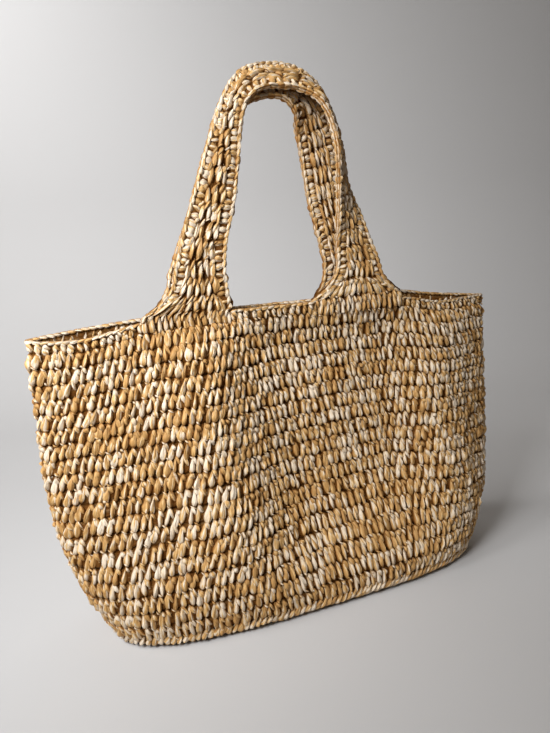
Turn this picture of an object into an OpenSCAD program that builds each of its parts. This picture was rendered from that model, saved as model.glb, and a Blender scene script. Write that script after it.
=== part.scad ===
// Crocheted beach tote. A flat oval base, a wall worked upwards in rounds, a chain
// edging round the mouth, and two broad straps that grow out of the wall's top edge.
// X runs along the mouth, Y from front to back, Z up; the bag stands on z = 0.

/* [Body] */
// Height of the wall at the middle of the mouth
wall_h = 268; // [240:1:300]
// Thickness of the crocheted wall
wall_t = 7; // [6:0.5:8]
// Width of the mouth, outside
mouth_w = 440; // [420:1:460]
// Depth of the mouth, outside
mouth_d = 36; // [34:1:44]
// How far the two ends of the mouth dip below its middle
rim_dip = 10; // [0:1:16]
// Width of the bag at its widest, outside
belly_w = 442; // [430:1:460]
// Depth of the bag at half height, outside
belly_d = 78; // [70:1:90]

/* [Base] */
// Length of the oval base
base_w = 356; // [330:1:370]
// Depth of the oval base
base_d = 140; // [130:1:150]
// Thickness of the base panel
base_t = 8; // [6:0.5:9]
// Width of the raised round where the wall turns up
ridge_w = 9; // [8:0.5:10]

/* [Edging] */
// Height of the chain edging on the rim, and its width along the straps
edging_h = 5.5; // [4:0.5:6]

/* [Straps] */
// Thickness of a strap
strap_t = 7; // [6:0.5:7]
// Height of the line above the wall's middle where a strap folds
fold_rise = 32; // [30:1:34]

/* [Hidden] */

honey = [0.80, 0.64, 0.42];
straw = [0.86, 0.74, 0.55];
ivory = [0.90, 0.83, 0.70];

around = 72;            // points round one round of the wall
seam_gap = 0.3;         // gap between neighbouring pieces
root_lift = 1;          // clear height between the rim and a strap root
root_clear = 5;         // clear length between a strap root and the mouth edging
ridge_h = 9;            // height of the raised round
corner_v = 0.68;        // share of the height over which the bag's ends fill out
fold_z = wall_h + fold_rise;
fold_y = 0.94 * mouth_d / 2 - wall_t / 2;
fold_gap = 3;           // clear length each side of the fold line
fold_slope = 0.21;      // half thickness gained per millimetre away from the fold line
level_run = 36;         // height over which a strap's level end turns square to its own line

// Depths of the folds in the bag's front: the hollow as a share of the bag's half depth.
fold_hollow = 0.5;
fold_ridge = 11;
fold_swell = 6;

// Where each strap root meets the strap, and how far it flares at the rim.
root_w = 46;
root_left = [-79, 30, 6];   // centre, flare towards the bag's end, flare towards the middle
root_right = [68, 24, 22];

// Stations along a strap from its left root, over the grip, to its right root:
// x, y, z, width, and twist about its own line. The two straps nest at the grip.
front_stations = [
    [-79, -fold_y, fold_z, 46, 0],
    [-73, -fold_y, fold_z + 26, 40, 0],
    [-62, -12, fold_z + 57, 38, 0],
    [-52.5, -10, fold_z + 88, 33, 0],
    [-44, -8, fold_z + 116, 25.5, 6],
    [-34.5, -7, fold_z + 139, 23, 18],
    [-20, -7, fold_z + 152, 27, 30],
    [0, -7, fold_z + 156, 29, 34],
    [20, -7, fold_z + 154, 30, 38],
    [36, -9, fold_z + 144, 31, 48],
    [46, -12, fold_z + 126, 32, 58],
    [53, -14, fold_z + 99, 34, 58],
    [55.5, -14, fold_z + 66, 32, 46],
    [60.5, -14, fold_z + 38, 35, 22],
    [64, -fold_y, fold_z + 19, 38, 6],
    [68, -fold_y, fold_z, 46, 0]
];
back_stations = [
    [-79, fold_y, fold_z, 46, 0],
    [-69, fold_y, fold_z + 26, 40, 0],
    [-57, 12, fold_z + 57, 36, 0],
    [-48, 10, fold_z + 88, 31, 0],
    [-43, 7, fold_z + 116, 25, 6],
    [-35, 5, fold_z + 136, 21, 16],
    [-20, 3, fold_z + 146.5, 25, 28],
    [0, 2, fold_z + 149.5, 26, 32],
    [16, 3, fold_z + 147, 30, 30],
    [32, 6, fold_z + 136, 37, 18],
    [40, 9.5, fold_z + 118, 40, 8],
    [46, 12, fold_z + 93, 40, 4],
    [50.5, 13, fold_z + 62, 39, 0],
    [56, fold_y, fold_z + 38, 38, 0],
    [61, fold_y, fold_z + 20, 40, 0],
    [68, fold_y, fold_z, 46, 0]
];
steps = 4;              // rings between one station and the next

// ---- Shape of the wall: v runs from 0 at the base to 1 at the rim ----
function smooth(t) = let(c = min(1, max(0, t))) c * c * (3 - 2 * c);
function signed_pow(c, e) = sign(c) * pow(abs(c), e);
function half_length(v) =
    base_w / 2 + (belly_w - base_w) / 2 * (1 - pow(1 - min(1, v / corner_v), 2.7))
    + (mouth_w - belly_w) / 2 * smooth((v - 0.45) / 0.55);
function half_depth(v) =
    base_d / 2 * (1 - 0.1 * pow(1 - min(1, v / 0.12), 2))
    + (belly_d - base_d) / 2 * smooth((v - 0.05) / 0.5)
    + (mouth_d - belly_d) / 2 * smooth((v - 0.35) / 0.65);
// How far the empty bag's front sinks in (+) or swells out (-) at x: a ridge under the
// left strap, a hollow from there to the right strap, and a swelling at the right end.
function bell(x, centre, spread) = exp(-pow((x - centre) / spread, 2));
function front_fold(x, v) =
    (1 - smooth((v - 0.86) / 0.14))
    * (smooth(v / 0.42) * fold_hollow * half_depth(v) * smooth((x + 74) / 78) * (1 - smooth((x - 84) / 64))
       - smooth((v - 0.04) / 0.4) * (fold_ridge * bell(x, -86, 32) + fold_swell * bell(x, 152, 34)));
function wall_point(angle, v, inset) =
    let(e = 2 / (2 + 1.15 * (1 - v)),
        x = (half_length(v) - inset) * signed_pow(cos(angle), e),
        y = (half_depth(v) - inset) * signed_pow(sin(angle), e))
    [x, y + smooth(-y / 14) * front_fold(x, v), wall_h * v - rim_dip * v * pow(abs(x) / (mouth_w / 2), 2.5)];
function lifted(p, dz) = [p.x, p.y, p.z + dz];
function rim_z(x) = wall_h - rim_dip * pow(abs(x) / (mouth_w / 2), 2.5);

// ---- Shape of a strap ----
function unit(a) = a / norm(a);
function between(a, b, c, d, t) =
    0.5 * (2 * b + (c - a) * t + (2 * a - 5 * b + 4 * c - d) * t * t + (3 * b - a - 3 * c + d) * t * t * t);
function station(list, s) =
    let(last = len(list) - 1, i = min(last - 1, floor(s)), t = s - i)
    between(list[max(0, i - 1)], list[i], list[i + 1], list[min(last, i + 2)], t);
function place(st) = [st[0], st[1], st[2]];
// Point of a strap: s along it, w across it (outwards), n off its face, as shares
// of the half width, the strap's own edging, and the half thickness.
function strap_ring(list, s, outline) =
    let(st = station(list, s),
        last = len(list) - 1,
        ahead = place(station(list, min(last, s + 0.05))),
        behind = place(station(list, max(0, s - 0.05))),
        along = unit(ahead - behind),
        level = smooth((st[2] - fold_z - fold_gap) / level_run),
        outward = unit(level * unit(cross(along, [0, 1, 0])) + (1 - level) * [s < last / 2 ? -1 : 1, 0, 0]),
        back = unit(cross(outward, along)),
        across = cos(st[4]) * outward + sin(st[4]) * back,
        off = sin(st[4]) * outward - cos(st[4]) * back,
        half_t = min(strap_t / 2, fold_slope * (st[2] - fold_z)),
        half_w = st[3] / 2)
    [for (q = outline) place(st) + (q.x * half_w + q.y) * across + q.z * half_t * off];
// Outline points hold the share of the half width, an extra distance across and a share
// of the half thickness.
band_outline = [
    for (p = [[-0.9, -1], [0.9, -1], [1, -0.6], [1, 0.6], [0.9, 1], [-0.9, 1], [-1, 0.6], [-1, -0.6]])
        [p.x, -sign(p.x) * edging_h, p.y]
];
function edging_outline(side) = [
    for (p = [[1, -0.9], [0.45, -1.1], [0.05, -0.6], [0.05, 0.6], [0.45, 1.1], [1, 0.9]])
        [side, -side * edging_h * p.x + side * seam_gap * p.x, side * p.y]
];
// The rings stop short of the fold line at both ends.
function strap_ends(list) = let(first = fold_gap / (list[1][2] - fold_z),
                                last = fold_gap / (list[len(list) - 2][2] - fold_z))
    [first, len(list) - 1 - last];
function strap_rings(list, outline) =
    let(ends = strap_ends(list), count = (len(list) - 1) * steps)
    [for (i = [0 : count]) strap_ring(list, ends[0] + (ends[1] - ends[0]) * i / count, outline)];

// ---- Solids from rings of points ----
function ring_faces(rings, size, closed) = [
    for (i = [0 : rings - (closed ? 1 : 2)], j = [0 : size - 1])
        let(k = (i + 1) % rings, m = (j + 1) % size)
        each [[i * size + j, k * size + j, k * size + m], [i * size + j, k * size + m, i * size + m]]
];
function cap_faces(rings, size) = [
    [for (j = [0 : size - 1]) j],
    [for (j = [0 : size - 1]) (rings - 1) * size + size - 1 - j]
];
module skin(rings, closed = false) {
    size = len(rings[0]);
    faces = ring_faces(len(rings), size, closed);
    polyhedron(
        points = [for (ring = rings, p = ring) p],
        faces = closed ? faces : concat(faces, cap_faces(len(rings), size)),
        convexity = 10
    );
}

// Section of the chain edging at one angle round the mouth.
function rim_section(angle) = [
    lifted(wall_point(angle, 1, wall_t), seam_gap - edging_h),
    lifted(wall_point(angle, 1, wall_t + 0.6), -edging_h / 2),
    lifted(wall_point(angle, 1, wall_t - 1.5), 0),
    lifted(wall_point(angle, 1, 1.5), 0),
    lifted(wall_point(angle, 1, -0.6), -edging_h / 2),
    lifted(wall_point(angle, 1, 0), seam_gap - edging_h)
];
module rim_run(from, to, count) {
    skin([for (i = [0 : count]) rim_section(from + (to - from) * i / count)]);
}
// Angle round the mouth at which the rim passes over x.
function rim_angle(x) = acos(x / (mouth_w / 2));
outer_left = root_left[0] - root_w / 2 - root_left[1] - root_clear;
inner_left = root_left[0] + root_w / 2 + root_left[2] + root_clear;
inner_right = root_right[0] - root_w / 2 - root_right[2] - root_clear;
outer_right = root_right[0] + root_w / 2 + root_right[1] + root_clear;

// Flared foot of a strap, from the wall's last round up to the fold line.
module strap_root(root, side) {
    outer_sign = sign(root[0]);
    top = fold_z - fold_gap;
    slices = 8;
    skin([
        for (i = [0 : slices])
            let(share = i / slices,
                z_mid = wall_h - edging_h + (top - wall_h + edging_h) * share,
                flare = pow(1 - share, 2),
                outer = root[0] + outer_sign * (root_w / 2 + root[1] * flare),
                inner = root[0] - outer_sign * (root_w / 2 + root[2] * flare),
                low = min(outer, inner),
                high = max(outer, inner),
                half_t = min(strap_t / 2, fold_slope * (fold_z - z_mid)),
                sag = 1 - share)
            [for (c = [[low, -1], [high, -1], [high, 1], [low, 1]])
                [c.x, side * fold_y + c.y * half_t,
                 z_mid + root_lift * (1 - share) - sag * (wall_h - rim_z(c.x))]]
    ]);
}

module base_panel() {
    color(straw)
        linear_extrude(base_t)
            polygon([
                for (i = [0 : around - 1])
                    let(p = wall_point(360 * i / around, 0, ridge_w + seam_gap)) [p.x, p.y]
            ]);
}

module base_edge_round() {
    section = [[0, ridge_w], [1, ridge_w - 1], [1, 1], [0.75, -1], [0.3, -1], [0, 3]];
    color(honey)
        skin([
            for (i = [0 : around - 1])
                [for (q = section)
                    let(p = wall_point(360 * i / around, 0.01, q.y)) [p.x, p.y, ridge_h * q.x]]
        ], closed = true);
}

module wall() {
    levels = 11;
    low = (ridge_h + seam_gap) / wall_h;
    high = 1 - edging_h / wall_h;
    // Levels crowd towards the base, where the wall curves most.
    heights = [for (k = [0 : levels]) low + (high - low) * pow(k / levels, 1.4)];
    color(straw)
        skin([
            for (i = [0 : around - 1])
                let(angle = 360 * i / around)
                concat(
                    [for (k = [0 : levels]) wall_point(angle, heights[k], wall_t)],
                    [for (k = [levels : -1 : 0]) wall_point(angle, heights[k], 0)]
                )
        ], closed = true);
}

module mouth_edging_left() {
    color(ivory) rim_run(rim_angle(outer_left), 360 - rim_angle(outer_left), 24);
}

module mouth_edging_right() {
    color(ivory) rim_run(-rim_angle(outer_right), rim_angle(outer_right), 24);
}

module front_window_edging() {
    color(ivory) rim_run(-rim_angle(inner_left), -rim_angle(inner_right), 6);
}

module back_window_edging() {
    color(ivory) rim_run(rim_angle(inner_right), rim_angle(inner_left), 6);
}

module front_left_strap_root() {
    color(straw) strap_root(root_left, -1);
}

module front_right_strap_root() {
    color(straw) strap_root(root_right, -1);
}

module back_left_strap_root() {
    color(straw) strap_root(root_left, 1);
}

module back_right_strap_root() {
    color(straw) strap_root(root_right, 1);
}

module front_strap_band() {
    color(straw) skin(strap_rings(front_stations, band_outline));
}

module front_strap_outer_edging() {
    color(ivory) skin(strap_rings(front_stations, edging_outline(1)));
}

module front_strap_inner_edging() {
    color(ivory) skin(strap_rings(front_stations, edging_outline(-1)));
}

module back_strap_band() {
    color(straw) skin(strap_rings(back_stations, band_outline));
}

module back_strap_outer_edging() {
    color(ivory) skin(strap_rings(back_stations, edging_outline(1)));
}

module back_strap_inner_edging() {
    color(ivory) skin(strap_rings(back_stations, edging_outline(-1)));
}

base_panel();
base_edge_round();
wall();
mouth_edging_left();
mouth_edging_right();
front_window_edging();
back_window_edging();
front_left_strap_root();
front_right_strap_root();
back_left_strap_root();
back_right_strap_root();
front_strap_band();
front_strap_outer_edging();
front_strap_inner_edging();
back_strap_band();
back_strap_outer_edging();
back_strap_inner_edging();
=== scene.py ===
"""Looks of a crocheted raffia beach bag.

Every stitch is a real little solid: a twisted strip of paper raffia bent over the bag's
surface. The wall is made in rounds, the base in ovals, and each strap in rows with a
wrapped margin and a chain edge. All sizes are in metres.

Stitches are placed on a skin, in its own a (along a row), b (up the rows) and c (off it).
"""
import math

import bpy
import numpy as np
from mathutils import Matrix, Vector


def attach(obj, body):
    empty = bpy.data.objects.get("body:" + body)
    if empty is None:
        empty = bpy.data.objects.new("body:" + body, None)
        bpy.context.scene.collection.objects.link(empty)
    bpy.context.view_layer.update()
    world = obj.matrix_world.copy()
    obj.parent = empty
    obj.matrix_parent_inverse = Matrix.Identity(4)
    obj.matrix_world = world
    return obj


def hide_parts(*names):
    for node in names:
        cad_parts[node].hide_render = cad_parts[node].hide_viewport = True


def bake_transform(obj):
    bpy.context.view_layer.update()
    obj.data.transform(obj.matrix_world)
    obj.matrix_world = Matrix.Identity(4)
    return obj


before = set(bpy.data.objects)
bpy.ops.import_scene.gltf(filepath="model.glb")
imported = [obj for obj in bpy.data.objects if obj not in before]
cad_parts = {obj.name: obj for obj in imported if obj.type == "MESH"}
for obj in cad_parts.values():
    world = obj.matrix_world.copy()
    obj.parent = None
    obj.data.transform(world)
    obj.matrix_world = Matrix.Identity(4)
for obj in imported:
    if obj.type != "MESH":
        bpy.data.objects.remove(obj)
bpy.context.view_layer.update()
MM = 0.001
rng = np.random.default_rng(11)

# ---------------------------------------------------------------- sizes of the design
WALL_H = 268 * MM               # height of the wall at the middle of the mouth
WALL_T = 7 * MM                 # its thickness
MOUTH_W, MOUTH_D = 440 * MM, 36 * MM
BELLY_W, BELLY_D = 442 * MM, 78 * MM
BASE_W, BASE_D = 356 * MM, 140 * MM
RIM_DIP = 10 * MM               # how much lower the rim is at the bag's ends
CORNER_V = 0.68                 # share of the height over which the ends fill out
FOLD_Z = WALL_H + 32 * MM       # the straps' fold line
EDGE = 4.2 * MM                 # chain along a strap's margin
WRAP = 5.6 * MM                 # wrapped column beside it

ROUNDS = 19                     # rounds of stitches between the base and the rim
ROUNDS_B = 20                   # the wall's height in units of its skin
STITCHES = 146                  # stitches in a round
PITCH = 5.5 * MM                # width of one stitch on the straps
ROW = 15.0 * MM                 # height of one row on the straps
WRAP_PITCH = 5.7 * MM           # distance between the wraps along a strap's edge
LINK_PITCH = 6.0 * MM           # distance between the links of its chain
RIM_ROW = 10 * MM               # the short round under the rim's cord
ROPE = 10 * MM                  # the raised round at the foot of the wall
ROPE_STRANDS = 168              # strands wound over it
UNIT_B = WALL_H / ROUNDS_B      # metres in one unit of b on the wall

BASE_ROUNDS = 5                 # rounds of stitches seen on the underside
BASE_REACH = 60 * MM            # their innermost line, from the base's edge
BASE_EDGE = 5 * MM              # their outermost line
BASE_PITCH = 6.4 * MM           # width of one stitch there
BASE_MIDDLE = 5.4 * MM          # height of their middle above the floor
SEED_STITCHES = 19              # stitches on each side of the starting chain

BACK_LEAN = 0.3                 # slant of the back's stitches, in stitch widths
RIM_SAG = 7 * MM                # the front rim hangs lower near both ends
RIM_RISE = 4 * MM               # the back rim stands higher beside the right foot
FOLD_DEPTH = 0.5                # hollow of the front fold, as a share of the half depth
FOLD_RIDGE = 11 * MM            # ridge under the left strap
FOLD_SWELL = 6 * MM             # swelling at the right end
FOOT_RINGS = 60                 # steps along a strap's foot
FLARE_CURVE = 2.2               # how late the foot flares: 1 is a straight slope

# Stations along a strap: x, y, z, width and twist in degrees, from left root to right.
FRONT_STATIONS = [
    (-79, -13.4, 300, 46, 0), (-73, -13.4, 326, 40, 0), (-62, -12, 357, 38, 0),
    (-52.5, -10, 388, 33, 0), (-44, -8, 416, 25.5, 6), (-34.5, -7, 439, 23, 18),
    (-20, -7, 452, 27, 30), (0, -7, 456, 29, 34), (20, -7, 454, 30, 38), (36, -9, 444, 31, 48),
    (46, -12, 426, 32, 58), (53, -14, 399, 34, 58), (55.5, -14, 366, 32, 46),
    (60.5, -14, 338, 35, 22), (64, -13.4, 319, 38, 6), (68, -13.4, 300, 46, 0),
]
BACK_STATIONS = [
    (-79, 13.4, 300, 46, 0), (-69, 13.4, 326, 40, 0), (-57, 12, 357, 36, 0), (-48, 10, 388, 31, 0),
    (-43, 7, 416, 25, 6), (-35, 5, 436, 21, 16), (-20, 3, 446.5, 25, 28), (0, 2, 449.5, 26, 32),
    (16, 3, 447, 30, 30), (32, 6, 436, 37, 18), (40, 9.5, 418, 40, 8), (46, 12, 393, 40, 4),
    (50.5, 13, 362, 39, 0), (56, 13.4, 338, 38, 0), (61, 13.4, 320, 40, 0), (68, 13.4, 300, 46, 0),
]
# Flare of each strap's feet at the rim, left and right: towards the bag's end and towards
# the middle. Side -1 is the front strap and 1 the back one.
FLARES = {
    -1: ((30 * MM, 3 * MM), (24 * MM, 28 * MM)),
    1: ((19 * MM, 6 * MM), (22 * MM, 10 * MM)),
}


def smooth(t):
    """An S-shaped step from 0 to 1 as t goes from 0 to 1."""
    t = np.clip(t, 0, 1)
    return t * t * (3 - 2 * t)


def bell(x, centre, spread):
    return np.exp(-((x - centre) / spread) ** 2)


def unit(v):
    return v / np.maximum(np.linalg.norm(v, axis=-1, keepdims=True), 1e-12)


# ---------------------------------------------------------------- surfaces
def half_length(v):
    fill = 1 - (1 - np.minimum(1, v / CORNER_V)) ** 2.7
    belly = BASE_W / 2 + (BELLY_W - BASE_W) / 2 * fill
    return belly + (MOUTH_W - BELLY_W) / 2 * smooth((v - 0.45) / 0.55)


def half_depth(v):
    tucked = BASE_D / 2 * (1 - 0.1 * (1 - np.minimum(1, v / 0.12)) ** 2)
    belly = tucked + (BELLY_D - BASE_D) / 2 * smooth((v - 0.05) / 0.5)
    return belly + (MOUTH_D - BELLY_D) / 2 * smooth((v - 0.35) / 0.65)


def rim_z(x):
    return WALL_H - RIM_DIP * (np.abs(x) / (MOUTH_W / 2)) ** 2.5


def wall_points(angle, v, inset):
    """Point of the wall's outer face, inset metres inwards; v is 0 at the base, 1 at the rim."""
    power = 2 / (2 + 1.15 * (1 - v))
    c, s = np.cos(angle), np.sin(angle)
    x = (half_length(v) - inset) * np.sign(c) * np.abs(c) ** power
    y = (half_depth(v) - inset) * np.sign(s) * np.abs(s) ** power
    z = WALL_H * v - RIM_DIP * v * (np.abs(x) / (MOUTH_W / 2)) ** 2.5
    return x, y, z


def front_fold(x, v):
    """How far the empty bag's front sinks in (+) or swells out (-): a ridge under the left
    strap, a hollow from there to the right strap, and a swelling at the right end."""
    hollow = smooth((x + 74 * MM) / (78 * MM)) * (1 - smooth((x - 84 * MM) / (64 * MM)))
    swell = FOLD_RIDGE * bell(x, -86 * MM, 32 * MM) + FOLD_SWELL * bell(x, 152 * MM, 34 * MM)
    fold = smooth(v / 0.42) * FOLD_DEPTH * half_depth(v) * hollow - smooth((v - 0.04) / 0.4) * swell
    return (1 - smooth((v - 0.86) / 0.14)) * fold


def hang(x, y, z):
    """The wall with its fold, small ripples, and a mouth open at both ends: the front rim sags
    there and the back one stands a little higher next to the strap."""
    v = np.clip(z / WALL_H, 0, 1)
    front = smooth(-y / (14 * MM))
    calm = smooth(v / 0.1) * (1 - smooth((v - 0.85) / 0.15))
    ripple = 1.2 * MM * calm * np.sin(x / (21 * MM) + 3 * v) * np.sin(7.5 * v + 0.7)
    upper = smooth((v - 0.55) / 0.45)
    sag = RIM_SAG * (bell(x, -176 * MM, 36 * MM) + bell(x, 160 * MM, 34 * MM)) * upper
    rise = RIM_RISE * bell(x, 122 * MM, 30 * MM) * upper
    z = z - sag * smooth(-y / (5 * MM)) + rise * smooth(y / (5 * MM))
    return np.stack([x, y + front * front_fold(x, v) + ripple, z], -1)


class Skin:
    """A surface held as a grid of points, closed on itself in a. a runs round it, b up it
    and c off it."""

    def __init__(self, points, a_span, b_span):
        self.points = points
        self.a_span, self.b_span = a_span, b_span
        across = np.roll(points, -1, 1) - np.roll(points, 1, 1)
        along = np.gradient(points, axis=0)
        self.normals = unit(np.cross(across, along))
        # metres per unit of a, for every row of the grid
        step = np.linalg.norm(across, axis=-1).mean(1) / 2
        self.a_scale = step * points.shape[1] / (a_span[1] - a_span[0])
        length = np.linalg.norm(along, axis=-1).mean() * (points.shape[0] - 1)
        self.b_scale = length / (b_span[1] - b_span[0])

    def scale_a(self, b):
        rows = np.linspace(self.b_span[0], self.b_span[1], len(self.a_scale))
        return np.interp(b, rows, self.a_scale)

    def at(self, a, b, c):
        rows, cols = self.points.shape[:2]
        t = (b - self.b_span[0]) / (self.b_span[1] - self.b_span[0]) * (rows - 1)
        t = np.clip(t, 0, rows - 1 - 1e-6)
        i = np.floor(t).astype(int)
        t = (t - i)[..., None]
        s = (a - self.a_span[0]) / (self.a_span[1] - self.a_span[0])
        s = (s % 1.0) * cols
        j = np.floor(s).astype(int) % cols
        k = (j + 1) % cols
        s = (s - np.floor(s))[..., None]

        def mixed(grid):
            near = grid[i, j] * (1 - s) + grid[i, k] * s
            far = grid[i + 1, j] * (1 - s) + grid[i + 1, k] * s
            return near * (1 - t) + far * t

        return mixed(self.points) + unit(mixed(self.normals)) * c[..., None]


def even_round(v, inset, count):
    """One level of the wall as count points, evenly spaced from the left end by the front."""
    halves = []
    for first in (math.pi, 2 * math.pi):
        angle = np.linspace(first, first + math.pi, 1200)
        points = hang(*wall_points(angle, v, inset))
        run = np.concatenate([[0], np.cumsum(np.linalg.norm(np.diff(points, axis=0), axis=1))])
        even = np.linspace(0, run[-1], count // 2, endpoint=False)
        halves.append(np.stack([np.interp(even, run, points[:, k]) for k in range(3)], -1))
    return np.concatenate(halves)


def wall_skin():
    levels = np.linspace(0, 1, 121)
    grid = np.stack([even_round(v, WALL_T / 2, 1080) for v in levels])
    return Skin(grid, (0, STITCHES), (0, ROUNDS_B))


def catmull(stations, s):
    """Smooth curve through the stations, at s counted in stations."""
    last = len(stations) - 1
    i = np.clip(np.floor(s).astype(int), 0, last - 1)
    t = (s - i)[:, None]
    a, b = stations[np.maximum(0, i - 1)], stations[i]
    c, d = stations[i + 1], stations[np.minimum(last, i + 2)]
    bend, ease = 2 * a - 5 * b + 4 * c - d, 3 * b - a - 3 * c + d
    return 0.5 * (2 * b + (c - a) * t + bend * t**2 + ease * t**3)


class Strap:
    """A band from the rim, up over the grip and down to the rim. a is metres across it,
    outwards from its middle, b metres along it and c metres off its front face."""
    b_scale = 1.0

    def __init__(self, stations, side):
        table = np.array(stations, float)
        table[:, :4] *= MM
        s = np.linspace(0, len(table) - 1, 700)
        upper = catmull(table, s)
        along = unit(np.gradient(upper[:, :3], axis=0))
        left = s < (len(table) - 1) / 2
        level = smooth((upper[:, 2] - FOLD_Z - 3 * MM) / (36 * MM))[:, None]
        flat = np.where(left, -1.0, 1.0)[:, None] * np.array([1.0, 0, 0])
        outward = unit(level * unit(np.cross(along, [0, 1.0, 0])) + (1 - level) * flat)
        back = unit(np.cross(outward, along))
        twist = np.radians(upper[:, 4])[:, None]
        across = np.cos(twist) * outward + np.sin(twist) * back
        off = np.sin(twist) * outward - np.cos(twist) * back
        half = upper[:, 3] / 2
        band = (upper[:, :3], across, off, half, half, np.zeros(len(half)))
        left_foot = self.foot(table[0], FLARES[side][0], rising=True)
        right_foot = self.foot(table[-1], FLARES[side][1], rising=False)
        self.centre, self.across, self.off, self.half, self.core, self.shift = (
            np.concatenate(parts) for parts in zip(left_foot, band, right_foot)
        )
        self.off = unit(self.off)
        run = np.linalg.norm(np.diff(self.centre, axis=0), axis=1)
        self.run = np.concatenate([[0], np.cumsum(run)])
        self.length = self.run[-1]

    @staticmethod
    def foot(end, flare, rising):
        """The part between the wall's last round and the fold line: it flares into the rim.
        Gives its middle line, its directions across and off, its half width, the half width
        without the flare, and how far the flare shifts its middle."""
        share = np.linspace(0, 1, FOOT_RINGS, endpoint=False)
        if not rising:
            share = 1 - share - 1 / FOOT_RINGS
        rim = rim_z(end[0])
        low = rim - RIM_ROW - 3 * MM
        spread = 1 - np.clip((low + (end[2] - low) * share - rim) / (end[2] - rim), 0, 1)
        outer, inner = (end[3] / 2 + reach * spread**FLARE_CURVE for reach in flare)
        sign = np.sign(end[0])
        centre = np.zeros((FOOT_RINGS, 3))
        centre[:, 0] = end[0] + sign * (outer - inner) / 2
        centre[:, 1] = end[1]
        centre[:, 2] = low + (end[2] - low) * share
        across = np.tile([sign, 0.0, 0.0], (FOOT_RINGS, 1))
        off = np.tile([0.0, -1.0, 0.0], (FOOT_RINGS, 1))
        core = np.full(FOOT_RINGS, end[3] / 2)
        return centre, across, off, (outer + inner) / 2, core, (outer - inner) / 2

    def scale_a(self, b):
        return np.ones_like(b)

    def half_width(self, b):
        return np.interp(b, self.run, self.half)

    def margin(self, b):
        """Width of the chain and the wrapped column beside it: less where the band is gathered,
        and next to nothing below the rim."""
        height = np.interp(b, self.run, self.centre[:, 2] - rim_z(self.centre[:, 0]))
        gathered = np.clip(self.half_width(b) / (19 * MM), 0.6, 1)
        return (EDGE + WRAP * gathered) * np.clip(height / (9 * MM), 0.15, 1)

    def spread_out(self, share, b):
        """Place across the band of a stitch at -1 to 1 between the margins. The middle
        stitches stay upright where the foot flares, and the outer ones fan out."""
        half, core, shift = (np.interp(b, self.run, grid) for grid in (self.half, self.core, self.shift))
        flare = half - core + np.sign(share) * shift
        return share * (core - self.margin(b) + 0.6 * MM) + flare * share**3 - shift

    def edge_run(self, outer, spacing):
        """Places along an edge above the rim, as (b, half a link in b), evenly spaced on it."""
        b = np.linspace(0, self.length, 1500)
        line = self.at(outer * self.half_width(b), b, np.zeros(1500))
        above = line[:, 2] > rim_z(line[:, 0]) - 1 * MM
        b, line = b[above], line[above]
        run = np.concatenate([[0], np.cumsum(np.linalg.norm(np.diff(line, axis=0), axis=1))])
        count = round(run[-1] / spacing)
        middle = (np.arange(count) + 0.5) * run[-1] / count
        near, far = (np.interp(middle + k * 0.74 * spacing, run, b) for k in (-1, 1))
        return (near + far) / 2, (far - near) / 2

    def at(self, a, b, c):
        pick = lambda grid: np.stack([np.interp(b, self.run, grid[:, k]) for k in range(3)], -1)
        return pick(self.centre) + pick(self.across) * a[..., None] + unit(pick(self.off)) * c[..., None]


# ---------------------------------------------------------------- stitches
CELL_GAP = 0.06                 # gap round a strand's cell of the bake map, as a share of it
SHARP_SHARE = 0.4               # share of the lengthwise folds that are sharp
PAINTED_SHADE_TONE = 0.4                      # tone of the loops inside the fabric, as a share of the yarn's: painted shade for the gaps they lie in
# shape of the loops inside the fabric; shade 0.2 cuts their painted light, as painted shade in the gaps
INSIDE = dict(sides=8, rings=4, peak=0.5, shade=0.2, crush=0.2)


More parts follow.
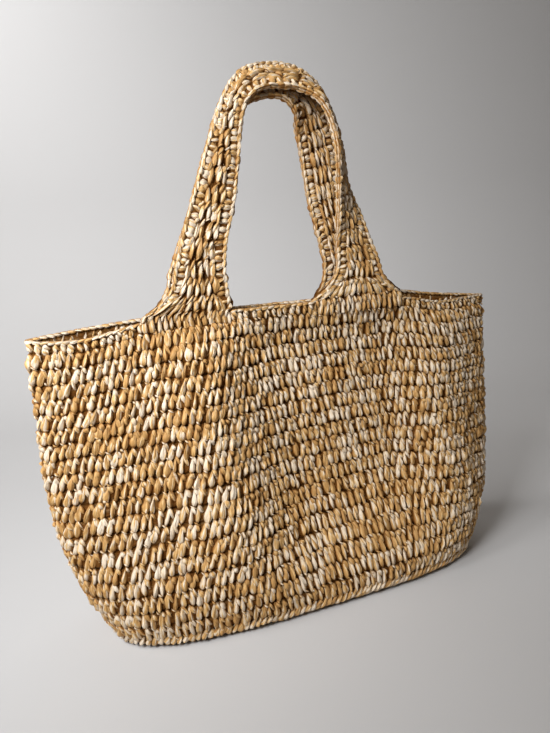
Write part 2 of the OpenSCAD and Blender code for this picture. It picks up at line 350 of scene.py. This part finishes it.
class Strands:
    """Gathers strands, which are closed little solids, and turns them into one mesh."""

    def __init__(self):
        self.points, self.tones, self.yarn, self.depth, self.folds = [], [], [], [], []
        self.quads, self.tris, self.uv_quads, self.uv_tris = [], [], [], []
        self.count = 0
        self.strands = 0

    def add(self, skin, start, end, width, thick, bow, tones, sides=10, rings=8,
            peak=0.35, tip=0.2, bend=0, shade=1.0, crush=1.0):
        """start and end are (n, 3) places on the skin; width and thick are radii in metres;
        bow lifts the middle off the skin and bend moves it sideways. A strand is fullest at
        peak and narrows to the share tip of that at its end."""
        n = len(start)
        if not n:
            return
        width, thick, bow, bend = (np.zeros(n) + value for value in (width, thick, bow, bend))
        t = np.linspace(0.03, 0.97, rings)
        full = self.swelling(t, peak, tip)
        mid = start[:, None] * (1 - t[None, :, None]) + end[:, None] * t[None, :, None]
        arc = np.sin(math.pi * t)[None]
        scale_a = skin.scale_a(mid[..., 1])
        run_a = (end[:, 0] - start[:, 0])[:, None] * scale_a
        run_b = (end[:, 1] - start[:, 1])[:, None] * skin.b_scale * np.ones_like(scale_a)
        length = np.sqrt(run_a**2 + run_b**2)
        side_a, side_b = run_b / length, -run_a / length
        turn = np.arange(sides) * 2 * math.pi / sides
        crease = 1 + crush * self.crease(n, turn, t)
        sideways = bend[:, None] * arc
        swell = full[None, :, None] * crease
        w = width[:, None, None] * np.cos(turn)[None, None] * swell + sideways[..., None]
        h = thick[:, None, None] * np.sin(turn)[None, None] * swell
        a = mid[..., 0:1] + side_a[..., None] * w / scale_a[..., None]
        b = mid[..., 1:2] + side_b[..., None] * w / skin.b_scale
        c = mid[..., 2:3] + (bow[:, None] * arc)[..., None] + h
        body = skin.at(a.ravel(), b.ravel(), c.ravel()).reshape(n, rings * sides, 3)
        tips = skin.at(
            np.stack([start[:, 0], end[:, 0]], 1).ravel(),
            np.stack([start[:, 1], end[:, 1]], 1).ravel(),
            np.stack([start[:, 2], end[:, 2]], 1).ravel(),
        ).reshape(n, 2, 3)
        self.points.append(np.concatenate([body, tips], 1).reshape(-1, 3))
        # shade scales the strand's painted light: lower values paint the whole strand darker, as shade
        self.paint(n, t, turn, length.mean(1), width, tones, shade)
        self.weave(n, rings, sides)

    @staticmethod
    def swelling(t, peak, tip):
        rise = np.sin(math.pi / 2 * np.minimum(1, t / peak)) ** 0.7
        fall = tip + (1 - tip) * np.cos(math.pi / 2 * np.maximum(0, (t - peak) / (1 - peak))) ** 1.4
        return np.where(t < peak, rise, fall)

    @staticmethod
    def crease(n, turn, t):
        """Lengthwise folds of the crushed strip, winding slowly round each strand."""
        wind = rng.uniform(-1.2, 1.2, (n, 1, 1)) * t[None, :, None] * 1.6
        first = rng.uniform(0, 2 * math.pi, (n, 1, 1))
        pinch = 0.11 * np.sin(rng.uniform(4, 10, (n, 1, 1)) * t[None, :, None] + 3 * first)
        angle = turn[None, None] + wind
        return 0.17 * np.cos(2 * angle + first) - 0.17 * np.cos(3 * angle + 2.1 * first) + pinch

    def paint(self, n, t, turn, length, width, tones, shade):
        """Colour tone, painted light and yarn coordinates: painted light on a strand's crown, on both faces
        of the fabric, and painted brown shade along its sides and where it comes out from below."""
        rings, sides = len(t), len(turn)
        along = (t[None] * length[:, None])[..., None] * np.ones(sides)
        around = (turn[None, None] * width[:, None, None]) * np.ones((1, rings, 1))
        body = np.stack([along, around, np.zeros_like(along)], -1).reshape(n, -1, 3)
        tips = np.zeros((n, 2, 3))
        tips[:, 1, 0] = length
        yarn = np.concatenate([body, tips], 1) / MM
        yarn[..., 2] = rng.uniform(0, 100, n)[:, None]
        self.yarn.append(yarn.reshape(-1, 3))
        self.tones.append(np.repeat(tones, rings * sides + 2))
        # painted light: bright on the crown of both faces, painted brown shade along the sides and where
        # the strand comes out from below
        crown = smooth((np.abs(np.sin(turn)) + 0.22) / 0.62)[None, :] * smooth((t + 0.06) / 0.2)[:, None]
        light = np.concatenate([crown.ravel(), [0.1, 0.6]])
        self.depth.append(np.tile(light * shade, n))
        line = np.tile(np.arange(sides), (n, rings, 1)) + 1
        sharp = rng.uniform(0, 1, (n, 1, sides)) < SHARP_SHARE
        fold = (line + sides * np.arange(n)[:, None, None]) * sharp
        fold = np.concatenate([fold.reshape(n, -1), np.zeros((n, 2), int)], 1).ravel()
        self.folds.append(np.where(fold > 0, fold + self.count, 0))

    def weave(self, n, rings, sides):
        """Faces of n strands, each with its own cell of the bake map."""
        ring, side = np.meshgrid(np.arange(rings - 1), np.arange(sides), indexing="ij")
        corners = ((0, 0), (0, 1), (1, 1), (1, 0))
        quad = [(ring + up) * sides + (side + on) % sides for up, on in corners]
        quad = np.stack(quad, -1).reshape(-1, 4)
        one = np.arange(sides)
        two = (one + 1) % sides
        last = (rings - 1) * sides
        bottom = np.stack([two, one, np.full(sides, rings * sides)], -1)
        top = np.stack([last + one, last + two, np.full(sides, rings * sides + 1)], -1)
        base = self.count + np.arange(n)[:, None, None] * (rings * sides + 2)
        self.quads.append((quad[None] + base).reshape(-1, 4))
        self.tris.append((np.concatenate([bottom, top])[None] + base).reshape(-1, 3))

        uv_quad = np.stack([
            np.stack([(side + on) / sides, (ring + 1 + up) / (rings + 1)], -1) for up, on in corners
        ], -2).reshape(-1, 4, 2)
        left, right = one / sides, (one + 1) / sides
        flat = np.ones(sides)
        low, high = flat / (rings + 1), flat * rings / (rings + 1)
        uv_bottom = np.stack([np.stack([right, left, (left + right) / 2], -1),
                              np.stack([low, low, 0 * flat], -1)], -1)
        uv_top = np.stack([np.stack([left, right, (left + right) / 2], -1),
                           np.stack([high, high, flat], -1)], -1)
        cell = self.strands + np.arange(n)
        self.uv_quads.append((cell, uv_quad))
        self.uv_tris.append((cell, np.concatenate([uv_bottom, uv_top])))
        self.count += n * (rings * sides + 2)
        self.strands += n

    def cells(self, sets):
        """The bake map: a square grid of cells with a small gap between them."""
        grid = math.ceil(math.sqrt(self.strands))
        out = []
        for cell, uv in sets:
            place = np.stack([cell % grid, cell // grid], -1)[:, None, None, :]
            out.append(((place + CELL_GAP + (1 - 2 * CELL_GAP) * uv[None]) / grid).reshape(-1, 2))
        return np.concatenate(out)

    def piece(self, name, material):
        points = np.concatenate(self.points)
        quads, tris = np.concatenate(self.quads), np.concatenate(self.tris)
        mesh = bpy.data.meshes.new(name)
        mesh.vertices.add(len(points))
        mesh.vertices.foreach_set("co", points.astype(np.float32).ravel())
        mesh.loops.add(quads.size + tris.size)
        corners = np.concatenate([quads.ravel(), tris.ravel()])
        mesh.loops.foreach_set("vertex_index", corners.astype(np.int32))
        mesh.polygons.add(len(quads) + len(tris))
        starts = np.concatenate([np.arange(len(quads)) * 4, quads.size + np.arange(len(tris)) * 3])
        mesh.polygons.foreach_set("loop_start", starts.astype(np.int32))
        mesh.update(calc_edges=True)
        mesh.shade_smooth()
        self.mark_folds(mesh, np.concatenate(self.folds))
        self.store(mesh, "tone", "FLOAT", "value", np.concatenate(self.tones))
        # the painted light of every point, from 0 in painted shade to 1 fully lit
        self.store(mesh, "depth", "FLOAT", "value", np.concatenate(self.depth))
        self.store(mesh, "yarn", "FLOAT_VECTOR", "vector", np.concatenate(self.yarn))
        layer = mesh.uv_layers.new(name="OFBake")
        uv = np.concatenate([self.cells(self.uv_quads), self.cells(self.uv_tris)])
        layer.data.foreach_set("uv", uv.astype(np.float32).ravel())
        mesh.materials.append(material)
        obj = bpy.data.objects.new(name, mesh)
        bpy.context.scene.collection.objects.link(obj)
        return obj

    @staticmethod
    def mark_folds(mesh, folds):
        """Sharp edges along the chosen lengthwise folds."""
        ends = np.empty(len(mesh.edges) * 2, np.int32)
        mesh.edges.foreach_get("vertices", ends)
        first, second = folds[ends[0::2]], folds[ends[1::2]]
        layer = mesh.attributes.new("sharp_edge", "BOOLEAN", "EDGE")
        layer.data.foreach_set("value", (first > 0) & (first == second))

    @staticmethod
    def store(mesh, name, kind, field, values):
        layer = mesh.attributes.new(name, kind, "POINT")
        layer.data.foreach_set(field, values.astype(np.float32).ravel())


def yarn_tones(n):
    """Light and dark stretches of one variegated yarn, from stitch to stitch."""
    each = rng.uniform(0, 1, n)
    slow = np.convolve(rng.uniform(0, 1, n + 3), np.ones(4) / 4, "valid")[:n]
    return np.clip(0.42 + 0.55 * (each - 0.5) + 0.9 * (slow - 0.5), 0, 1)


def jitter(n, amount):
    """n small random differences, with the given spread and at most twice it."""
    return rng.normal(0, amount, n).clip(-2 * amount, 2 * amount)


def places(a, b, c):
    """(n, 3) places on a skin from whole columns or single values."""
    return np.stack(np.broadcast_arrays(a, b, c), -1)


def post_row(strands, skin, a, b0, b1, pitch, row_b, lean, size=1.0, thick=3.0 * MM,
             faces=(1, -1), fanned=False):
    """One row of stitches at a, from b0 to b1. Each is an upright strand, full low down and
    drawn to a point on top. On each face a shoulder runs down from the point beside it, its tone
    a little darker as painted shade, and a small slanting loop lies over some feet. A flat loop
    inside closes the gaps, its colour darkened as painted shade: it lies along the row, or
    behind its own stitch where the stitches are fanned out."""
    n = len(a)
    metres = pitch * skin.scale_a(b0 + np.zeros(n))
    a = a + jitter(n, 0.08) * pitch
    sway = (lean + jitter(n, 0.17)) * pitch
    shift = jitter(n, 0.07)
    low = b0 - (0.12 + jitter(n, 0.05) + shift) * row_b
    high = b1 + (0.09 + jitter(n, 0.05) - shift) * row_b
    plump = size * (1 + jitter(n, 0.13))
    tones = yarn_tones(n)
    start = places(a - sway / 2, low, 0.4 * MM + jitter(n, 0.3 * MM))
    end = places(a + sway / 2, high, 0.1 * MM + jitter(n, 0.3 * MM))
    strands.add(skin, start, end, 0.41 * metres * plump, thick * size * (1 + jitter(n, 0.12)),
                (0.4 + jitter(n, 0.3)) * MM, tones, peak=0.36, tip=0.16, bend=jitter(n, 0.07) * metres)
    for face in faces:
        # the shoulder, its tone a little darker: painted shade beside the point
        start = places(a + sway / 2 - 0.02 * pitch, high - 0.02 * row_b, face * 0.8 * MM)
        end = places(a + sway * 0.2 + (0.56 + jitter(n, 0.08)) * pitch,
                     b1 - (0.50 + jitter(n, 0.08)) * row_b, face * 0.5 * MM + jitter(n, 0.4 * MM))
        strands.add(skin, start, end, 0.31 * metres * plump, 2.0 * MM * size,
                    face * (1.0 + jitter(n, 0.3)) * MM, np.clip(tones + jitter(n, 0.22) - 0.08, 0, 1),
                    sides=8, rings=6, peak=0.5, tip=0.5)
        # the small loop over some feet
        pick = rng.uniform(0, 1, n) < 0.55
        k = int(pick.sum())
        over = a[pick] - sway[pick] / 2
        rise = jitter(k, 0.06) * row_b
        start = places(over - (0.40 + jitter(k, 0.08)) * pitch, b0 + 0.13 * row_b + rise, face * 1.3 * MM)
        end = places(over + (0.22 + jitter(k, 0.10)) * pitch, b0 - 0.11 * row_b + rise, face * 1.4 * MM)
        strands.add(skin, start, end, (0.14 + jitter(k, 0.03)) * metres[pick], 0.9 * MM * size,
                    face * 1.5 * MM, yarn_tones(k), sides=6, rings=5, peak=0.5, tip=0.4)
    # the loop inside, painted dark as shade in the gaps
    if fanned:
        start = places(a - lean * pitch * 0.68, b0 - 0.18 * row_b, -0.3 * MM)
        end, half = places(a + lean * pitch * 0.68, b1 + 0.18 * row_b, -0.3 * MM), 0.68 * metres
    else:
        start = places(a - 0.95 * pitch, (b0 + b1) / 2 - 0.02 * row_b, -0.3 * MM)
        end, half = start + np.array([1.9 * pitch, 0.04 * row_b, 0]), 0.56 * abs(row_b) * skin.b_scale
    strands.add(skin, start, end, half, 0.8 * MM * size, 0, yarn_tones(n) * PAINTED_SHADE_TONE, tip=0.75, **INSIDE)


# ---------------------------------------------------------------- material
def ramp(tree, value, stops):
    """Colours from a value by straight steps."""
    node = tree.nodes.new("ShaderNodeValToRGB")
    node.color_ramp.interpolation = "LINEAR"
    while len(node.color_ramp.elements) < len(stops):
        node.color_ramp.elements.new(0.5)
    for element, (place, colour) in zip(node.color_ramp.elements, stops):
        element.position = place
        element.color = (*colour, 1)
    tree.links.new(value, node.inputs[0])
    return node.outputs[0]


def multiplied(tree, share, first, second):
    """The first colour times the second, by a share."""
    node = tree.nodes.new("ShaderNodeMix")
    node.data_type = "RGBA"
    node.blend_type = "MULTIPLY"
    node.inputs[0].default_value = share
    tree.links.new(first, node.inputs[6])
    tree.links.new(second, node.inputs[7])
    return node.outputs[2]


def math_node(tree, operation, first, second, clamp=False):
    node = tree.nodes.new("ShaderNodeMath")
    node.operation = operation
    node.use_clamp = clamp
    for socket, value in zip(node.inputs, (first, second)):
        if isinstance(value, (int, float)):
            socket.default_value = value
        else:
            tree.links.new(value, socket)
    return node.outputs[0]


def yarn_noise(tree, yarn, stretch, detail):
    """Noise in the yarn's own coordinates, stretched along it."""
    scale = tree.nodes.new("ShaderNodeVectorMath")
    scale.operation = "MULTIPLY"
    scale.inputs[1].default_value = stretch
    tree.links.new(yarn, scale.inputs[0])
    noise = tree.nodes.new("ShaderNodeTexNoise")
    noise.inputs["Scale"].default_value = 1.0
    noise.inputs["Detail"].default_value = detail
    noise.inputs["Roughness"].default_value = 0.6
    tree.links.new(scale.outputs[0], noise.inputs["Vector"])
    return noise.outputs["Fac"]


def attribute(tree, name):
    node = tree.nodes.new("ShaderNodeAttribute")
    node.attribute_name = name
    return node


def raffia(name, light_share):
    """Paper raffia: ivory and honey stretches, lengthwise streaks and creases, a satin
    shine, and painted brown shade down between the stitches, where the shine is dimmed too."""
    material = bpy.data.materials.new(name)
    material.use_nodes = True
    tree = material.node_tree
    shader = tree.nodes["Principled BSDF"]
    yarn = attribute(tree, "yarn").outputs["Vector"]
    tone = attribute(tree, "tone").outputs["Fac"]
    depth = attribute(tree, "depth").outputs["Fac"]
    streak = yarn_noise(tree, yarn, (0.09, 0.42, 7.0), 1.2)
    fibre = yarn_noise(tree, yarn, (0.25, 3.4, 5.0), 3.0)
    patch = math_node(tree, "MULTIPLY", math_node(tree, "SUBTRACT", streak, 0.5), 2.6)
    blend = math_node(tree, "ADD", math_node(tree, "ADD", tone, patch), light_share, clamp=True)
    colours = ramp(tree, blend, [
        (0.00, (0.47, 0.255, 0.082)),
        (0.22, (0.59, 0.345, 0.124)),
        (0.40, (0.67, 0.436, 0.186)),
        (0.47, (0.69, 0.483, 0.243)),
        (0.54, (0.73, 0.582, 0.412)),
        (1.00, (0.79, 0.672, 0.530)),
    ])
    grain = ramp(tree, fibre, [(0.28, (0.66, 0.55, 0.43)), (0.58, (1.0, 1.0, 1.0))])
    # painted shade: the colour is darkened to brown where the painted light is low
    shade = ramp(tree, depth, [
        (0.0, (0.085, 0.040, 0.008)),
        (0.5, (0.56, 0.40, 0.23)),
        (1.0, (1.0, 1.0, 1.0)),
    ])
    grained = multiplied(tree, 0.55, colours, grain)
    tree.links.new(multiplied(tree, 1.0, grained, shade), shader.inputs["Base Color"])
    rough = tree.nodes.new("ShaderNodeMapRange")
    rough.inputs["From Min"].default_value = 0.3
    rough.inputs["From Max"].default_value = 0.7
    rough.inputs["To Min"].default_value = 0.42
    rough.inputs["To Max"].default_value = 0.62
    tree.links.new(fibre, rough.inputs["Value"])
    tree.links.new(rough.outputs[0], shader.inputs["Roughness"])
    fold = math_node(tree, "ABSOLUTE", math_node(tree, "SUBTRACT", streak, 0.5), 0)
    fine = math_node(tree, "MULTIPLY", fibre, 0.7)
    creases = math_node(tree, "ADD", math_node(tree, "MULTIPLY", fold, -3.0), fine)
    bump = tree.nodes.new("ShaderNodeBump")
    bump.inputs["Strength"].default_value = 0.9
    bump.inputs["Distance"].default_value = 0.7 * MM
    tree.links.new(creases, bump.inputs["Height"])
    tree.links.new(bump.outputs[0], shader.inputs["Normal"])
    # the shine follows the painted light too, dimmed in the painted shade
    shine = math_node(tree, "MULTIPLY", depth, 0.34)
    tree.links.new(shine, shader.inputs["Specular IOR Level"])
    return material


fabric = raffia("raffia_fabric", 0.02)
edging = raffia("raffia_edging", 0.10)


def finish_piece(obj, body, slot, *nodes):
    """Hands one piece over: its body and the CAD nodes it replaces; slot is not used."""
    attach(obj, body)
    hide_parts(*nodes)


# ---------------------------------------------------------------- wall
def wall_lean(x, v):
    """The stitches' slant, in stitch widths: the fabric is pulled askew round its folds."""
    left = 0.5 - 0.85 * smooth((x + 72 * MM) / (46 * MM))
    right = 0.55 * smooth((x - 70 * MM) / (50 * MM))
    corner = 0.8 * smooth((x - 96 * MM) / (40 * MM)) * smooth((v - 0.62) / 0.25)
    return left + (right - corner)


def position(skin, a, b):
    """x, y and z of places along one level of a skin."""
    spot = skin.at(a, b + np.zeros(len(a)), np.zeros(len(a)))
    return spot[:, 0], spot[:, 1], spot[:, 2]


def build_wall(skin):
    """The rounds between the raised round and the rim. Gives the level where they end."""
    low, high = ROPE / UNIT_B, ROUNDS_B - RIM_ROW / UNIT_B
    edges = np.linspace(low, high, ROUNDS + 1)
    row_b = edges[1] - edges[0]
    for r in range(ROUNDS):
        strands = Strands()
        a = np.arange(STITCHES) + 0.5 * (r % 2) + 0.11 * r
        x, y, z = position(skin, a, edges[r])
        lean = np.where(y < 0, wall_lean(x, z / WALL_H), BACK_LEAN)
        post_row(strands, skin, a, edges[r], edges[r + 1], 1.0, row_b, lean)
        finish_piece(strands.piece(f"wall_round_{r + 1:02d}", fabric), "bag", "raffia_fabric", "wall")
    return high


def off_straps(skin, a, clear):
    """True where the rim is free of the straps' feet, by the distance clear."""
    x, y, _ = position(skin, a, ROUNDS_B)
    free = np.ones(len(x), bool)
    for side, flares in FLARES.items():
        for end, flare in zip((FRONT_STATIONS[0], FRONT_STATIONS[-1]), flares):
            away = (x - end[0] * MM) * np.sign(end[0])
            half = end[3] / 2 * MM
            beside = (away < half + flare[0] + clear) & (away > -half - flare[1] - clear)
            free &= ~((y * side > 0) & beside)
    return free


def build_rim(skin, low):
    """The short round under the rim and the thin cord on top of it."""
    row_b = ROUNDS_B - low
    strands = Strands()
    a = np.arange(STITCHES) + 0.4
    a = a[off_straps(skin, a, -4 * MM)]
    post_row(strands, skin, a, low, ROUNDS_B - 0.22 * row_b, 1.0, row_b, lean=-0.35, size=0.86,
             thick=2.3 * MM, faces=(1,))
    links = round(STITCHES * 1.1)
    a = (np.arange(links) + 0.5) * STITCHES / links
    a = a[off_straps(skin, a, -5 * MM)]
    middle, half, tilt = ROUNDS_B - 1.6 * MM / UNIT_B, 0.7 * STITCHES / links, 0.055
    tones = yarn_tones(len(a))
    for face in (-1, 1):
        start = places(a - half, middle - tilt, face * 0.9 * MM)
        end = places(a + half, middle + tilt, face * 1.3 * MM)
        strands.add(skin, start, end, 1.5 * MM * (1 + jitter(len(a), 0.1)), 1.425 * MM, face * 0.6 * MM,
                    tones, sides=8, rings=6, peak=0.4, tip=0.45)
    finish_piece(strands.piece("mouth_edging", edging), "bag", "raffia_edging", "mouth_edging_left",
                 "mouth_edging_right", "front_window_edging", "back_window_edging")


# ---------------------------------------------------------------- base
def oval_skin(insets, height):
    """Rounds of the base: b runs over the insets from the middle outwards, and a goes once
    round from 0 to 1."""
    grid, around = [], 720
    for inset in insets:
        angle = np.linspace(0, 2 * math.pi, 2 * around + 1)
        x, y, _ = wall_points(angle, 0.0, inset)
        run = np.concatenate([[0], np.cumsum(np.hypot(np.diff(x), np.diff(y)))])
        even = np.linspace(0, run[-1], around, endpoint=False)
        grid.append(places(np.interp(even, run, x), np.interp(even, run, y), height))
    return Skin(np.array(grid), (0, 1), (0, 1))


def build_base():
    """The underside: rounds of stitches, and the two sides of the chain they start from."""
    skin = oval_skin(np.linspace(BASE_REACH, BASE_EDGE, 41), BASE_MIDDLE)
    strands = Strands()
    for r in range(BASE_ROUNDS):
        b0, b1 = r / BASE_ROUNDS, (r + 1) / BASE_ROUNDS
        perimeter = float(skin.scale_a(np.array([(b0 + b1) / 2]))[0])
        count = round(perimeter / BASE_PITCH)
        a = (np.arange(count) + 0.5 * (r % 2)) / count
        post_row(strands, skin, a, b0 + 0.01, b1, 1 / count, 1 / BASE_ROUNDS, lean=0.25, size=0.9)
    seeds = np.arange(2 * SEED_STITCHES)
    along = (seeds % SEED_STITCHES + 0.5) / SEED_STITCHES * 0.42
    line = places(along + np.where(seeds < SEED_STITCHES, 0.04, 0.54), 0.02, 0.0)
    reach = np.array([0.014, 0, 0])
    strands.add(skin, line - reach, line + reach, 2.6 * MM, 2.4 * MM, 0, yarn_tones(len(seeds)))
    finish_piece(strands.piece("base_rounds", fabric), "bag", "raffia_fabric", "base_panel")


def build_rope(skin):
    """The raised round where the wall turns up: short strands wound aslant over the turn."""
    strands = Strands()
    a = (np.arange(ROPE_STRANDS) + 0.5) * STITCHES / ROPE_STRANDS
    low, high = 3.0 * MM / UNIT_B, (ROPE + 1.5 * MM) / UNIT_B
    start = places(a - 0.55, low + jitter(ROPE_STRANDS, 0.02), 1.1 * MM)
    end = places(a + 0.75, high + jitter(ROPE_STRANDS, 0.03), 0.8 * MM)
    strands.add(skin, start, end, 2.3 * MM * (1 + jitter(ROPE_STRANDS, 0.1)), 2.5 * MM, 1.0 * MM,
                yarn_tones(ROPE_STRANDS), peak=0.45, tip=0.5)
    # the core that they are wound over, its tone and painted light lowered as painted shade under them
    start = places(a - 0.6, 0.33, -1.2 * MM)
    strands.add(skin, start, start + np.array([1.6, 0.0, 0.0]), 3.6 * MM, 1.7 * MM, 0,
                yarn_tones(ROPE_STRANDS) * 0.6, sides=6, rings=4, peak=0.5, tip=0.6, shade=0.5)
    finish_piece(strands.piece("base_edge_rope", fabric), "bag", "raffia_fabric", "base_edge_round")


wall = wall_skin()
rim_b = build_wall(wall)
build_rim(wall, rim_b)
build_rope(wall)
build_base()


# ---------------------------------------------------------------- straps
def strap_rows(strands, strap):
    """Rows of stitches, standing up from both feet towards the middle of the grip."""
    rows = round(strap.length / ROW)
    edges = np.linspace(0, strap.length, rows + 1)
    row_b = edges[1] - edges[0]
    for k in range(rows):
        up = 1 if k < rows / 2 else -1
        b0, b1 = (edges[k], edges[k + 1]) if up > 0 else (edges[k + 1], edges[k])
        share = np.linspace(-1, 1, 201)
        low, high = strap.spread_out(share, b0), strap.spread_out(share, b1)
        middle = (low + high) / 2
        count = max(2, round((middle[-1] - middle[0]) / PITCH))
        pitch = (middle[-1] - middle[0]) / count
        a = middle[0] + (np.arange(count) + 0.5) * pitch
        lean = np.interp(a, middle, high - low) / pitch
        post_row(strands, strap, a, b0, b1, pitch, up * row_b, 0.05 * up + lean, fanned=True)


def strap_margins(strands, strap):
    """A column of short wraps along each edge, and the loops behind them, painted dark as shade."""
    for outer in (-1, 1):
        b, half = (values[1:-1] for values in strap.edge_run(outer, WRAP_PITCH))
        count = len(b)
        b = b + jitter(count, 0.5 * MM)
        edge = strap.half_width(b)
        tilt = jitter(count, 1.0 * MM)
        start = places(outer * (edge - strap.margin(b) - 2.2 * MM), b - 0.8 * MM + tilt, 0.0)
        end = places(outer * (edge - EDGE + 0.9 * MM), b + 0.8 * MM - tilt, 0.0)
        strands.add(strap, start, end, (2.9 + jitter(count, 0.3)) * MM, 3.0 * MM, 0,
                    yarn_tones(count), sides=10, rings=7, peak=0.55, tip=0.45)
        # the loops behind the wraps, painted dark as shade in the gaps
        start, end = (
            places(outer * (strap.half_width(s) - 0.66 * strap.margin(s)), s, 0.0)
            for s in (b - 1.7 * half, b + 1.7 * half)
        )
        strands.add(strap, start, end, 0.46 * strap.margin(b), 1.1 * MM, 0, yarn_tones(count) * PAINTED_SHADE_TONE,
                    tip=0.8, **INSIDE)


def strap_chains(strands, strap):
    """A chain along each edge: one run of links on each face."""
    for outer in (-1, 1):
        b, half = strap.edge_run(outer, LINK_PITCH)
        count = len(b)
        for face in (-1, 1):
            tail = outer * (strap.half_width(b - half) - 0.80 * EDGE)
            head = outer * (strap.half_width(b + half) - 0.42 * EDGE)
            start = places(tail, b - half, face * 0.3 * MM)
            end = places(head, b + half, face * 0.9 * MM)
            strands.add(strap, start, end, 1.9 * MM * (1 + jitter(count, 0.14)), 2.0 * MM, face * 0.5 * MM,
                        yarn_tones(count), sides=8, rings=6, peak=0.4, tip=0.4)


def build_strap(face, side, stations):
    """The stitches and the chains of one strap, blended over the fold line at its feet."""
    name = f"{face}_strap"
    strap, body, links = Strap(stations, side), Strands(), Strands()
    strap_rows(body, strap)
    strap_margins(body, strap)
    strap_chains(links, strap)
    stitches = body.piece(f"{name}_stitches", fabric)
    chains = links.piece(f"{name}_chain_edges", edging)
    for obj, slot in ((stitches, "raffia_fabric"), (chains, "raffia_edging")):
        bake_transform(obj)
    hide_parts(f"{face}_left_strap_root", f"{face}_right_strap_root", f"{name}_band")
    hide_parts(f"{name}_outer_edging", f"{name}_inner_edging")


build_strap("front", -1, FRONT_STATIONS)
build_strap("back", 1, BACK_STATIONS)


# ---------------------------------------------------------------- camera, light, stage
TURN, DOWN, TILT = 20, 11, 3.8  # the camera's yaw, pitch and roll, in degrees
LOOK = (-9.5 * MM, -57.8 * MM, -496 * MM)   # its place from the rim's middle: right, up, ahead
LENS, SENSOR = 27, 36           # millimetres
STAGE_FLAT, STAGE_BEND, STAGE_TOP = 0.8, 0.5, 3.0
STAGE_SIDES, STAGE_FRONT, STAGE_BACK = 1.1, 1.1, -0.25     # reach added on each side
STAGE_CORNER = 0.4              # squareness of its outline: 1 is an oval


def aim_camera():
    yaw, pitch, roll = (math.radians(d) for d in (TURN, DOWN, TILT))
    right, ahead, up = (np.array(v) for v in (
        (math.cos(yaw), -math.sin(yaw), 0),
        (math.cos(pitch) * math.sin(yaw), math.cos(pitch) * math.cos(yaw), -math.sin(pitch)),
        (math.sin(pitch) * math.sin(yaw), math.sin(pitch) * math.cos(yaw), math.cos(pitch)),
    ))
    c, s = math.cos(roll), math.sin(roll)
    right, up = c * right - s * up, s * right + c * up
    place = np.array((0, 0, WALL_H)) + LOOK[0] * right + LOOK[1] * up + LOOK[2] * ahead
    data = bpy.data.cameras.new("camera")
    data.lens = LENS
    data.sensor_width = SENSOR
    data.clip_start = 0.02
    camera = bpy.data.objects.new("camera", data)
    bpy.context.scene.collection.objects.link(camera)
    turn = Matrix((right, up, -ahead)).transposed().to_4x4()
    camera.matrix_world = Matrix.Translation(Vector(place)) @ turn
    bpy.context.scene.camera = camera


def area_light(name, place, target, size, power, colour, spread=180):
    """A soft light; power in watts and spread in degrees."""
    data = bpy.data.lights.new(name, "AREA")
    data.shape = "RECTANGLE"
    data.size, data.size_y = size
    data.energy = power
    data.spread = math.radians(spread)
    data.color = colour
    lamp = bpy.data.objects.new(name, data)
    bpy.context.scene.collection.objects.link(lamp)
    lamp.location = place
    lamp.rotation_euler = (Vector(target) - Vector(place)).to_track_quat("-Z", "Y").to_euler()


def build_stage():
    """A pale floor that sweeps up all round, near behind the bag and far on the other sides."""
    profile = [(0.0, 0.0), (STAGE_FLAT / 2, 0.0), (STAGE_FLAT, 0.0)]
    for k in range(1, 13):
        bend = k * math.pi / 24
        profile.append((STAGE_FLAT + STAGE_BEND * math.sin(bend), STAGE_BEND - STAGE_BEND * math.cos(bend)))
    profile.append((STAGE_FLAT + STAGE_BEND, STAGE_TOP))
    verts, faces, around = [], [], 120
    for reach, z in profile:
        share = min(1, reach / STAGE_FLAT)
        for k in range(around):
            c, s = math.cos(2 * math.pi * k / around), math.sin(2 * math.pi * k / around)
            deep = STAGE_FRONT if s < 0 else STAGE_BACK
            verts.append((math.copysign(abs(c) ** STAGE_CORNER, c) * (reach + STAGE_SIDES * share),
                          math.copysign(abs(s) ** STAGE_CORNER, s) * (reach + deep * share), z))
    for low in range(0, (len(profile) - 1) * around, around):
        for k in range(around):
            m = (k + 1) % around
            faces.append((low + k, low + m, low + around + m, low + around + k))
    mesh = bpy.data.meshes.new("stage")
    mesh.from_pydata(verts, [], faces)
    mesh.shade_smooth()
    stage = bpy.data.objects.new("stage", mesh)
    bpy.context.scene.collection.objects.link(stage)
    stage.rotation_euler = (0, 0, math.radians(-TURN))
    paint = bpy.data.materials.new("stage_paint")
    paint.use_nodes = True
    shader = paint.node_tree.nodes["Principled BSDF"]
    shader.inputs["Base Color"].default_value = (0.52, 0.51, 0.505, 1)
    shader.inputs["Roughness"].default_value = 0.9
    mesh.materials.append(paint)


aim_camera()
build_stage()
area_light("window", (-0.50, -0.36, 0.62), (-0.20, 0, 0.30), (0.30, 0.34), 2.9, (0.96, 0.98, 1.0), 100)
area_light("fill", (1.1, -1.8, 1.0), (0, 0, 0.2), (1.6, 1.6), 1.5, (1.0, 0.80, 0.58))
area_light("rear_fill", (0.7, 0.95, 1.0), (0, 0, 0.25), (1.0, 1.0), 2.6, (1.0, 0.95, 0.88), 120)
area_light("backdrop_wash", (-1.3, 0.1, 1.5), (-0.30, 1.1, 0.85), (0.8, 0.8), 18, (0.98, 0.99, 1.0), 110)
world = bpy.data.worlds.new("room")
bpy.context.scene.world = world
world.use_nodes = True
world.node_tree.nodes["Background"].inputs["Color"].default_value = (1.0, 0.92, 0.82, 1)
world.node_tree.nodes["Background"].inputs["Strength"].default_value = 0.15
bpy.context.scene.view_settings.view_transform = "Standard"
